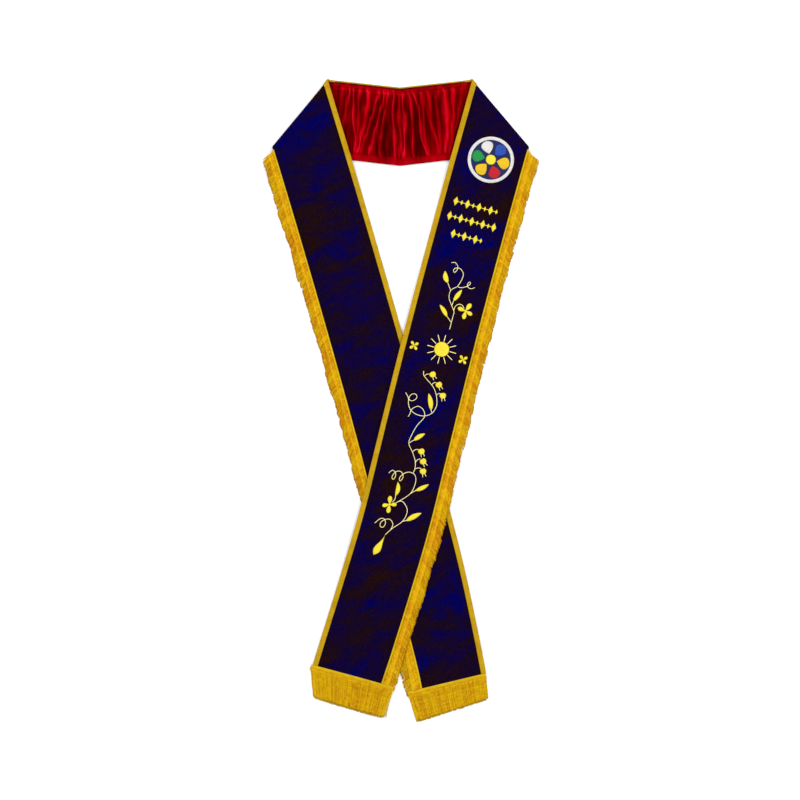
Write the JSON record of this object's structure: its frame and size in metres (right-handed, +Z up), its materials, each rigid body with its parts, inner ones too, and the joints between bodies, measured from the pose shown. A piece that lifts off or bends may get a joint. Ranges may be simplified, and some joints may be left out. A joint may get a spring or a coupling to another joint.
{
  "type": "regalia sash",
  "caption": "Long velvet V sash lying flat, crossed in front, with gold braid and fringe, a gathered satin lining at the neck and gold embroidery.",
  "frame": {"origin": "on the floor under the middle of the sash as it lies", "axes": "+Z up from the floor, +Y towards the back of the neck, +X to the over band's shoulder"},
  "size_m": [0.3656, 0.86, 0.0094],
  "materials": {
    "velvet": "short pile",
    "satin": "glossy satin",
    "braid": "woven metallic braid",
    "fringe": "twisted rayon",
    "patch_white": "satin stitch",
    "patch_red": "satin stitch",
    "patch_yellow": "satin stitch",
    "patch_blue": "satin stitch",
    "patch_green": "satin stitch",
    "gold_thread": "metallic thread"
  },
  "bodies": {
    "root": {"velvet_left": "velvet", "lining_left": "satin", "inner_braid_left": "braid", "side_fringe_left": "fringe", "end_fringe_left": "fringe", "velvet_right": "velvet", "lining_right": "satin", "inner_braid_right": "braid", "side_fringe_right": "fringe", "end_fringe_right": "fringe", "rosette_backing": "patch_white", "rosette_petal_1": "patch_red", "rosette_petal_2": "patch_yellow", "rosette_petal_3": "patch_blue", "rosette_petal_4": "patch_white", "rosette_petal_5": "patch_green", "rosette_petal_6": "patch_yellow", "rosette_centre": "gold_thread", "ornament_row_1": "gold_thread", "ornament_row_2": "gold_thread", "ornament_row_3": "gold_thread", "upper_spray": "gold_thread", "sun": "gold_thread", "side_flower_left": "gold_thread", "side_flower_right": "gold_thread", "lower_spray": "gold_thread"}
  },
  "joints": []
}
